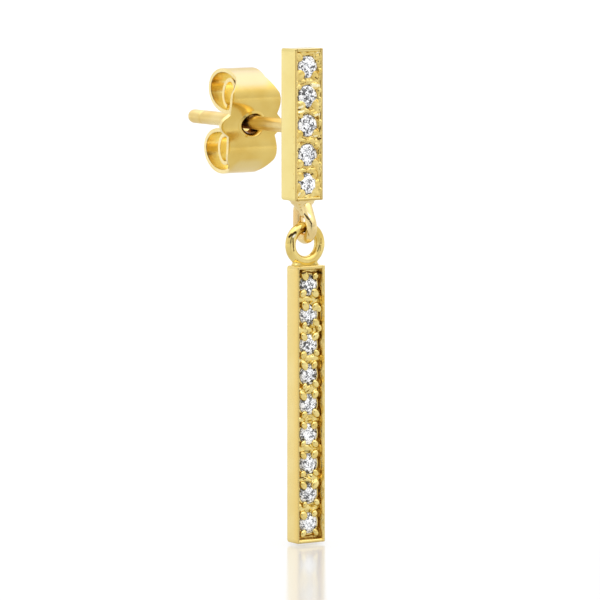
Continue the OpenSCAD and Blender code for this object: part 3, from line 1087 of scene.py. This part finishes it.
@dataclass
class Nut:
    """The butterfly nut: one sheet with a lipped hole, two lobes and two scrolls.

    Sizes are in mm, but the scroll's stops from crest to end are shares of its height. side lists how wide the
    sheet is from the hole up, in shares of the nut's height and width, and rings how far out from the hole's
    edge each ring of its lip and collar lies, and how far forward.
    """

    metal: Gold
    edge: Gold
    inner: Gold
    place: float = 4.65
    tilt: float = 8.5
    sheet: float = 0.2
    burr: float = 0.02
    width: float = 4.1
    height: float = 6.05
    dish: float = 0.33
    scroll: float = 1.95
    curl: float = 1.5
    hole: float = 1.28
    hole_high: float = 0.12
    soft_edge: float = 0.065
    soft_steps: int = 4
    soft_angle: float = 50.0
    columns: int = 26
    row_step: float = 0.15
    post: float = 0.4
    grip: float = 0.05
    crest: tuple[float, float] = (0.62, 1.0)
    rear: tuple[float, float] = (1.31, 0.5)
    grip_at: tuple[float, float] = (0.58, 0.0)
    turn: tuple[float, float] = (0.27, 0.3)
    inner_crest: tuple[float, float] = (0.54, 0.79)
    inner_rear: tuple[float, float] = (0.83, 0.42)
    end: tuple[float, float] = (0.62, 0.12)
    lobe: float = 0.38
    ear_tall: float = 0.165
    side: tuple[tuple[float, float], ...] = (
        (0.0, 0.36), (0.12, 0.385), (0.2, 0.4), (0.27, 0.4), (0.315, 0.385), (0.38, 0.31))
    rings: tuple[tuple[float, float], ...] = (
        (0.27, 0.0), (0.21, 0.0), (0.17, 0.03), (0.12, 0.072), (0.08, 0.048), (0.06, -0.04), (0.04, -0.16),
        (-0.02, -0.34), (-0.12, -0.56))
    line: list[tuple[float, Vector, float]] = field(default_factory=list)

    def build(self) -> None:
        """Cuts the blank, pierces it, bends it and gives it its thickness."""
        self.line = self.bend_line()
        work = Workpiece()
        self.blank(work)
        self.pierce(work)
        for v in work.bm.verts:
            v.co = self.bent(v.co)
        work.weld(1e-4)
        work.lean(self.tilt, Vector((0.0, self.grip_u, 0.0)), Vector((0.0, self.place, 0.0)))
        piece = work.finish("ear_nut_sheet", self.metal.make(), Body.NUT, Slot.NUT, 60.0)
        # The sheet's cut edge takes a paler finish, a painted highlight, and its inner face a brighter one,
        # painted light in the scrolls' shade.
        for finish in (self.edge, self.inner):
            piece.data.materials.append(finish.make())
        thick = piece.modifiers.new("sheet", "SOLIDIFY")
        thick.thickness = (self.sheet + self.burr) * MM
        thick.offset = 0.0
        thick.use_even_offset = True
        thick.material_offset_rim = 1
        thick.material_offset = 2
        soft = piece.modifiers.new("soft", "BEVEL")
        soft.width = self.soft_edge * MM
        soft.segments = self.soft_steps
        soft.limit_method = "ANGLE"
        soft.angle_limit = math.radians(self.soft_angle)
        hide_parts("ear_nut")

    @property
    def grip_v(self) -> float:
        """Height of the sheet's middle where a scroll lies along the post."""
        return (self.post + self.grip) / math.cos(math.radians(self.tilt)) + self.sheet / 2

    @property
    def scroll_height(self) -> float:
        """Height of a scroll, from the grip to its crest."""
        return self.height / 2 - self.sheet / 2 - self.grip_v

    @property
    def grip_u(self) -> float:
        """How far behind the plate a scroll touches the post."""
        return self.grip_at[0] * self.scroll_height

    def at(self, share: tuple[float, float]) -> Vector:
        """A point given in shares of a scroll's height."""
        return Vector((share[0] * self.scroll_height, self.grip_v + share[1] * self.scroll_height))

    def bend_line(self) -> list[tuple[float, Vector, float]]:
        """Draws the sheet's middle line from the nut's middle, up the plate and round the scroll.

        Returns:
            Length so far, point and heading of each place on it.
        """
        lobe_v = self.grip_v + self.lobe * self.scroll_height
        points = []
        for k in range(25):
            t = math.pi * k / 24
            points.append((Vector((-self.dish * (1 - math.cos(t)) / 2, lobe_v * t / math.pi)),
                           -math.atan(self.dish * math.sin(t) * math.pi / (2 * lobe_v))))
        stops = [Vector((-self.dish, lobe_v))] + [self.at(share) for share in (
            self.crest, self.rear, self.grip_at, self.turn, self.inner_crest, self.inner_rear, self.end)]
        for n, (p, q) in enumerate(zip(stops, stops[1:])):
            head = math.pi / 2 * n
            ahead = Vector((math.sin(head), math.cos(head)))
            side = Vector((math.cos(head), -math.sin(head)))
            a, b = (q - p).dot(ahead), (q - p).dot(side)
            for k in range(1, 17):
                t = math.pi / 2 * k / 16
                points.append((p + ahead * a * math.sin(t) + side * b * (1 - math.cos(t)),
                               head + math.atan2(b * math.sin(t), a * math.cos(t))))
        line, total = [], 0.0
        for k, (p, h) in enumerate(points):
            total += (p - points[k - 1][0]).length if k else 0.0
            line.append((total, p, h))
        return line

    def on_line(self, length: float) -> tuple[Vector, float]:
        """Point and heading of the sheet at a length along it from the nut's middle.

        Args:
            length: the length.

        Returns:
            The point and the heading.
        """
        for (a, p, g), (b, q, h) in zip(self.line, self.line[1:]):
            if length <= b:
                t = (length - a) / max(b - a, 1e-9)
                return p.lerp(q, t), g + (h - g) * t
        return self.line[-1][1], self.line[-1][2]

    def half_width(self, length: float) -> float:
        """Gives the blank's outline.

        Args:
            length: how far along the sheet from the nut's middle.

        Returns:
            Half the sheet's width there.
        """
        point, heading = self.on_line(length)
        # Past the scroll's rear the sheet narrows to its curl.
        if heading > math.pi:
            share = min(1.0, max(0.0, (heading - math.pi * 1.35) / (math.pi * 0.5)))
            return self.scroll / 2 + (self.curl / 2 - self.scroll / 2) * share
        stops = [(v * self.height, w * self.width) for v, w in self.side]
        stops.append((0.44 * self.height, self.scroll / 2))
        if heading > math.radians(75) or point.y >= stops[-1][0]:
            return self.scroll / 2
        for (a, v), (b, w) in zip(stops, stops[1:]):
            if point.y <= b:
                return v + (w - v) * (point.y - a) / (b - a)
        return self.scroll / 2

    def ear(self, v: float) -> float:
        """Half the width of the rounded ears at either side of the hole, at a height on the plate."""
        share = (v - self.hole_high / 2) / (self.ear_tall * self.height)
        return self.width / 2 * math.sqrt(max(0.0, 1 - share * share))

    def blank(self, work: Workpiece) -> None:
        """Lays the flat sheet out as a grid, X across and Z along, its sides pulled to the blank's outline.

        Args:
            work: where the sheet goes.
        """
        reach = self.line[-1][0]
        rows = 2 * int(reach / self.row_step)
        bmesh.ops.create_grid(work.bm, x_segments=self.columns, y_segments=rows, size=1.0,
                              matrix=Matrix.Rotation(math.pi / 2, 4, "X"))
        # Near the hole the grid stays straight, so that it can be pierced. The ears give the outline there.
        for v in work.bm.verts:
            across, along = v.co.x, v.co.z * reach
            half = max(self.half_width(abs(along)), self.ear(along) if abs(along) < 1.3 else 0.0)
            near = min(1.0, max(0.0, (Vector((across * self.width / 2, along)).length - 0.9) / 0.5))
            v.co.x = across * (self.width / 2 * (1 - near) + half * near)
            v.co.y = 0.0
            v.co.z = along

    def pierce(self, work: Workpiece) -> None:
        """Opens the blank round the post and draws a lip and a collar out of the opening's edge.

        Args:
            work: the blank.
        """
        middle = Vector((0.0, 0.0, self.hole_high))
        edge = self.hole / 2
        gone = [f for f in work.bm.faces if (f.calc_center_median() - middle).length < edge + 0.18]
        bmesh.ops.delete(work.bm, geom=gone, context="FACES")
        rim = [e for e in work.bm.edges if e.is_boundary
               and ((e.verts[0].co + e.verts[1].co) / 2 - middle).length < edge + 0.55]
        for n, (out, _) in enumerate(self.rings):
            if n:
                made = bmesh.ops.extrude_edge_only(work.bm, edges=rim)["geom"]
                rim = [e for e in edges_of(made) if e.is_boundary]
            for v in {v for e in rim for v in e.verts}:
                v.co = middle + (v.co - middle).normalized() * (edge + out)
        for v in work.bm.verts:
            away = (v.co - middle).length - edge
            for out, lift in self.rings:
                if abs(away - out) < 1e-4:
                    v.co.y = -lift

    def bent(self, flat: Vector) -> Vector:
        """Bends the sheet.

        Args:
            flat: a point of the flat blank.

        Returns:
            Where it goes.
        """
        point, heading = self.on_line(abs(flat.z))
        lift = -flat.y
        u = point.x - lift * math.cos(heading)
        v = point.y + lift * math.sin(heading)
        return Vector((flat.x, u, math.copysign(v, flat.z)))


# --- stage ---


@dataclass
class Studio:
    """Floor, light and camera.

    Lengths are in mm and the key lamp's power in watts. above is how much brighter the sky is overhead, dim how
    much darker it is behind the camera, and gap how dark the place is where a camera would stand.
    """

    azimuth: float = -33.04
    elevation: float = 5.876
    distance: float = 293.05
    shift_right: float = -0.117
    shift_up: float = -9.691
    axis_back: float = 0.73
    lens: float = 312.92
    sensor: float = 36.0
    floor_gap: float = 0.12
    floor_size: float = 6000.0
    key_place: tuple[float, float, float] = (-90.0, -120.0, 260.0)
    key_size: float = 60.0
    key_power: float = 0.035
    above: float = 0.75
    dim: float = 0.25
    gap: float = 0.85

    def build(self) -> None:
        """Sets the colour handling, the floor, the light and the camera."""
        view = bpy.context.scene.view_settings
        view.view_transform = "Standard"
        view.look = "None"
        self.floor()
        self.sky()
        self.lamp()
        self.camera()

    def axes(self) -> tuple[Vector, Vector, Vector]:
        """Works the camera's axes out.

        Returns:
            The camera's right, up and back.
        """
        a, e = math.radians(self.azimuth), math.radians(self.elevation)
        back = Vector((math.sin(a) * math.cos(e), -math.cos(a) * math.cos(e), math.sin(e)))
        right = Vector((math.cos(a), math.sin(a), 0.0))
        return right, back.cross(right), back

    def camera(self) -> None:
        """Places the camera where the photograph was taken from."""
        right, up, back = self.axes()
        place = back * self.distance + right * self.shift_right + up * self.shift_up
        place.y -= self.axis_back
        data = bpy.data.cameras.new("camera")
        data.sensor_width = self.sensor
        data.lens = self.lens
        data.clip_start = 0.01
        data.clip_end = 20.0
        eye = add_object("camera", data)
        eye.matrix_world = Matrix.Translation(place * MM) @ Matrix((right, up, back)).transposed().to_4x4()
        bpy.context.scene.camera = eye

    def floor(self) -> None:
        """Lays a wide plain floor just under the drop."""
        work = bmesh.new()
        level = Matrix.Translation((0, 0, CAD_BOX[0][2] - self.floor_gap * MM))
        bmesh.ops.create_grid(work, x_segments=1, y_segments=1, size=self.floor_size * MM, matrix=level)
        mesh = bpy.data.meshes.new("floor")
        work.to_mesh(mesh)
        work.free()
        mesh.materials.append(PaleFloor("pale_floor").make())
        floor = add_object("floor", mesh)

    def sky(self) -> None:
        """Lights plainly from all round, brighter above, with a darker gap where a camera would stand."""
        world = bpy.data.worlds.new("studio")
        bpy.context.scene.world = world
        tree = Tree(world)
        way = tree.node("ShaderNodeTexCoord", out="Generated")
        _, _, z = tree.parts(way)
        right, _, back = self.axes()
        toward, aside = (tree.node("ShaderNodeVectorMath", {"operation": "DOT_PRODUCT"},
                                   {0: way, 1: (line.x, line.y, 0.0)}, out="Value") for line in (back, right))
        # Each pair of numbers below is where a soft edge starts and ends, as the sine of its angle.
        front = tree.step(toward, -0.1, 0.8)
        gap = ((1.0 - tree.step(abs(aside), 0.14, 0.24)) * tree.step(toward, 0.3, 0.5)
               * (1.0 - tree.step(z, 0.4, 0.7)))
        above = tree.step(z, 0.35, 0.9) * self.above
        level = (1.0 + above - front * (1.0 - tree.step(z, 0.0, 0.5)) * self.dim) * (1.0 - gap * self.gap)
        eye = tree.node("ShaderNodeLightPath", out="Is Camera Ray")
        strength = level * (1.0 - eye) + eye
        light = tree.node("ShaderNodeBackground", {}, {"Color": (1.0, 1.0, 1.0, 1.0), "Strength": strength})
        tree.node("ShaderNodeOutputWorld", {}, {"Surface": light})

    def lamp(self) -> None:
        """Hangs the key lamp, a soft square that looks at the earring."""
        data = bpy.data.lights.new("key", "AREA")
        data.size = self.key_size * MM
        data.energy = self.key_power
        spot = Vector(self.key_place) * MM
        add_object("key", data).matrix_world = facing(spot, spot)


# --- the earring ---

PALE = (0.835, 0.70, 0.288)
PALE_DEEP = (0.82, 0.665, 0.25)
SOFT = (0.835, 0.67, 0.28)
SOFT_DEEP = (0.81, 0.63, 0.235)
WARM = (0.90, 0.72, 0.28)
WARM_DEEP = (0.72, 0.50, 0.12)
BEAD = (0.90, 0.745, 0.31)
BEAD_DEEP = (0.76, 0.575, 0.17)
# These five colours are painted light: shade on a rim, shade down a channel, two highlights and the shade in a
# pit.
RIM_SHADE = (0.84, 0.66, 0.25)
CHANNEL_SHADE = (0.34, 0.15, 0.03)
WHITE_HIGHLIGHT = (1.0, 0.97, 0.86)
CREAM_HIGHLIGHT = (1.0, 0.93, 0.62)
PIT_SHADE = (0.10, 0.04, 0.008)


def dot(x: float, z: float, wide: float = 0.09, colour: Colour = PIT_SHADE, along: float = 0.08,
        rise: float = 0.02) -> Streak:
    """A short painted mark in a bar's face, given by its middle, in mm: dark for shade in a pit, light for a
    highlight.
    """
    return Streak((x - along, 0.0, z - rise), (x + along, 0.0, z + rise), wide, colour, through=True)


# Painted shade down the channel, and painted shade on the rim, its lines and its keen corner.
STUD_METAL = Gold("stud_gold", PALE, PALE_DEEP, recess=Recess(-1.46, 0.3, 0.78, -4.07, 4.47, CHANNEL_SHADE, rim=RIM_SHADE))
# Painted shade deeper in the channel and in a pit here and there. The dark dots are painted shade in deep
# places and the cream ones painted highlights.
STUD_INNER = Gold(
    "stud_setting_gold", WARM, WARM_DEEP, rough=0.17, cloud=0.5, wave=0.28, wave_height=0.014,
    recess=Recess(-1.46, 0.36, 0.8, -4.07, 4.47, (0.42, 0.21, 0.04), share=0.95, start=0.25), streaks=(
        dot(0.04, 2.41, 0.07), dot(0.52, 0.345, 0.07, along=0.03), dot(0.74, -0.06, 0.09, along=0.03),
        dot(0.72, -0.61, 0.10), dot(0.03, 1.13, 0.08), dot(-0.64, 1.07, 0.07), dot(0.19, -2.60, 0.08),
        dot(-0.61, -2.25, 0.07, along=0.03), dot(0.5, 2.80, 0.06, rise=-0.05),
        dot(0.46, 2.39, 0.20, CREAM_HIGHLIGHT, 0.2, -0.03), dot(-0.52, 1.21, 0.12, CREAM_HIGHLIGHT, 0.1, 0.03),
        dot(-0.46, 0.96, 0.10, CREAM_HIGHLIGHT, 0.14), dot(0.58, 0.74, 0.14, CREAM_HIGHLIGHT, 0.12),
        dot(0.61, 4.23, 0.11, CREAM_HIGHLIGHT, 0.06), dot(0.43, -0.46, 0.09, CREAM_HIGHLIGHT, 0.1),
        dot(-0.64, -3.68, 0.10, CREAM_HIGHLIGHT, 0.05, 0.06)))
# Painted shade down the channel, and painted shade on the rim, its lines and its rounded front corner.
DROP_METAL = Gold("drop_gold", SOFT, SOFT_DEEP, recess=Recess(
    -1.717, 0.5, 0.75, -23.457, -7.737, (0.42, 0.19, 0.04), start=0.2, slope=0.13, rim=RIM_SHADE, line_share=0.3,
    keen=(0.82, 0.60, 0.20), keen_depth=0.62))
# Painted shade deeper in the channel and in a pit here and there. The dots are painted shade, among them the
# shadow under the top rim.
DROP_INNER = Gold(
    "drop_setting_gold", BEAD, BEAD_DEEP, rough=0.18, cloud=0.5, wave=0.35, wave_height=0.012,
    recess=Recess(-1.717, 0.62, 0.8, -23.457, -7.737, (0.52, 0.335, 0.08), share=0.9, start=0.4), streaks=(
        dot(0.64, -8.17, 0.15, along=0.14, rise=0.04), dot(0.78, -8.42, 0.08, along=0.01, rise=0.1),
        dot(-0.45, -8.1, 0.08, along=0.1), dot(0.5, -9.62, 0.06), dot(-0.6, -19.72, 0.08),
        dot(-0.35, -19.8, 0.07), dot(0.5, -22.62, 0.05)))
# Painted light on the loop: shade along the back leg and low down, dark reflections and a highlight on the
# front leg.
LOOP_METAL = Gold("loop_gold", (0.87, 0.70, 0.34), (0.80, 0.60, 0.25), rough=0.2, wave=0.5, streaks=(
    Streak((-0.2, -0.35, -4.95), (-0.2, -0.62, -5.9), 0.75, (0.78, 0.52, 0.22), 0.7),
    Streak((-0.305, -1.45, -4.82), (-0.22, -1.78, -5.10), 0.12),
    Streak((-0.20, -1.84, -5.19), (-0.15, -1.93, -5.33), 0.07),
    Streak((-0.20, -1.40, -4.50), (-0.13, -1.78, -4.98), 0.10, WHITE_HIGHLIGHT),
    Streak((-0.31, -1.10, -4.62), (-0.31, -1.22, -4.95), 0.08, (0.35, 0.18, 0.03)),
    Streak((-0.30, -1.75, -5.75), (-0.22, -1.80, -6.15), 0.08, (0.45, 0.26, 0.06))))
# Painted light on the ring: dark reflections, a highlight, and shade under the loop and by the solder.
RING_METAL = Gold(
    "ring_gold", (0.84, 0.67, 0.25), (0.70, 0.50, 0.12), rough=0.13, wave=0.35, wave_height=0.012, streaks=(
        Streak((-1.14, -1.16, -6.07), (-0.80, -1.31, -5.84), 0.17, (0.04, 0.02, 0.005), 1.0),
        Streak((-0.99, -1.31, -6.15), (-0.98, -1.33, -6.50), 0.085, (0.12, 0.06, 0.01)),
        Streak((-0.97, -1.33, -6.58), (-0.93, -1.33, -6.86), 0.075, (0.14, 0.07, 0.01)),
        Streak((-0.97, -1.29, -6.08), (-0.86, -1.32, -5.97), 0.10, WHITE_HIGHLIGHT),
        Streak((-0.72, -1.22, -7.47), (-0.66, -1.27, -7.40), 0.10, (0.30, 0.14, 0.02)),
        Streak((0.89, -1.32, -6.25), (0.89, -1.32, -6.55), 0.06, (0.30, 0.18, 0.04)),
        Streak((0.88, -1.32, -6.65), (0.84, -1.32, -6.95), 0.06, (0.30, 0.18, 0.04)),
        Streak((-0.45, -1.30, -5.70), (-0.10, -1.30, -5.62), 0.12, (0.34, 0.14, 0.02))))
POST_METAL = Gold("post_gold", (0.87, 0.69, 0.31), (0.78, 0.56, 0.18), rough=0.3, wave=0.6)
NUT_BORE = Bore(-0.085, 0.66, 4.62)
# Painted shade inside the hole, and two paler bands of painted highlight on the crest and the lower lobe.
NUT_METAL = Gold(
    "nut_gold", (0.805, 0.595, 0.18), (0.74, 0.51, 0.125), rough=0.17, wave=1.1, wave_height=0.006,
    bore=NUT_BORE,
    streaks=(Streak((-0.8, 4.7, 2.6), (0.5, 4.7, 2.6), 1.6, (0.65, 0.54, 0.34), 0.85, ragged=0.06),
             Streak((-0.55, 4.75, -2.70), (0.4, 4.75, -2.70), 1.1, (0.78, 0.63, 0.30), 0.6, ragged=0.06)))
# A paler colour on the sheet's cut edge: a painted highlight.
NUT_EDGE_SHEEN = Gold("nut_edge_sheen_gold", (0.92, 0.77, 0.40), (0.86, 0.68, 0.29), rough=0.25, wave=0.3)
# A brighter colour on the sheet's inner face: painted light against the scrolls' shade, with the painted shade
# inside the hole.
NUT_INNER_LIT = Gold(
    "nut_inner_lit_gold", (1.0, 0.86, 0.42), (0.92, 0.72, 0.26), rough=0.24, wave=0.4, wave_height=0.008,
    bore=NUT_BORE)


@dataclass
class Earring:
    """The whole earring, piece by piece."""

    upper: CutStone = CutStone("cut_stone_upper", 0.635, 1.65, 0.14)
    lower: CutStone = CutStone("cut_stone_lower", 0.6, 1.69, -15.5967)

    def build(self) -> None:
        """Builds every piece in order and reports it."""
        self.stud_bar().build()
        Post(POST_METAL).build()
        StudLoop(LOOP_METAL).build()
        self.drop_bar().build()
        DropRing(RING_METAL).build()
        Nut(NUT_METAL, NUT_EDGE_SHEEN, NUT_INNER_LIT).build()
        self.dress_stones()

    def stud_bar(self) -> Bar:
        """The short bar with five stones."""
        return Bar(
            "stud", Body.STUD, Slot.STUD, "stud_bar", "stone_upper", 5, depth=1.46, back=0.0, low=-4.07,
            high=4.47, rim=0.15, end_rim=0.17, slope=0.04, flat=0.11, channel=0.27, girdle=0.2, claw_out=0.17,
            claw_angle=45.5, claw_low=0.0, head=0.205, ridge=0.24, strip=0.13,
            push=((0.06, 0.02, 0.26, 0.26), (0.0, 0.06, 0.30, 0.24), (0.04, 0.0, 0.14, 0.16),
                  (0.0, 0.04, 0.16, 0.2), (0.24, 0.3, 0.24, 0.34)),
            lumps=((0.56, -3.2, 0.24, 0.3), (-0.62, -3.3, 0.14, 0.25), (0.45, 2.42, 0.3, 0.14),
                   (0.0, -4.0, 0.5, 0.12), (0.5, 0.75, 0.26, 0.13)),
            end_lumps=(4.2, -3.8), ridge_marks=(-0.6, -0.3, 0.0, 0.3, 0.6), ridge_tall=0.15, spread=1.3,
            metal=STUD_METAL, inner=STUD_INNER, seed=11)

    def drop_bar(self) -> Bar:
        """The long bar with nine stones."""
        low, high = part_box("drop_bar")
        return Bar(
            "drop", Body.DROP, Slot.DROP, "drop_bar", "stone_lower", 9, depth=1.15, back=high.y / MM,
            low=low.z / MM, high=low.z / MM + 15.72, rim=0.18, end_rim=0.21, slope=0.13, flat=0.1, edge=0.07,
            channel=0.46, girdle=0.37, claw_out=0.115, claw_angle=53.0, claw_low=0.04, head=0.195, ridge=0.29,
            push=((0.16, 0.1, 0.08, 0.14), (0.16, 0.14, 0.04, 0.16), (0.14, 0.12, 0.1, 0.08),
                  (0.18, 0.14, 0.04, 0.12), (0.14, 0.12, 0.08, 0.1), (0.12, 0.14, 0.08, 0.06),
                  (0.14, 0.16, 0.06, 0.1), (0.14, 0.14, 0.06, 0.08), (0.1, 0.1, 0.04, 0.08)),
            lumps=((0.5, -8.75, 0.18, 0.16), (0.58, -10.2, 0.16, 0.2), (0.62, -11.3, 0.14, 0.2)),
            ridge_marks=(-0.5, -0.05, 0.42), ridge_tall=0.22, spread=2.0, skin=0.034,
            metal=DROP_METAL, inner=DROP_INNER, seed=23)

    def dress_stones(self) -> None:
        """Gives every stone its finish."""
        finish = {"stone_upper": self.upper.make(), "stone_lower": self.lower.make()}
        names = sorted(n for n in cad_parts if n.startswith("stone_"))
        for name in names:
            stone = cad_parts[name]
            stone.data.materials.clear()
            stone.data.materials.append(finish[name.rsplit("_", 1)[0]])
        LOG.info("stones: %d dressed", len(names))


def main() -> None:
    """Builds the earring and its studio."""
    logging.basicConfig(level=logging.INFO, format="%(name)s: %(message)s")
    noise.seed_set(NOISE_SEED)
    Earring().build()
    Studio().build()


if __name__ == "__main__":
    main()
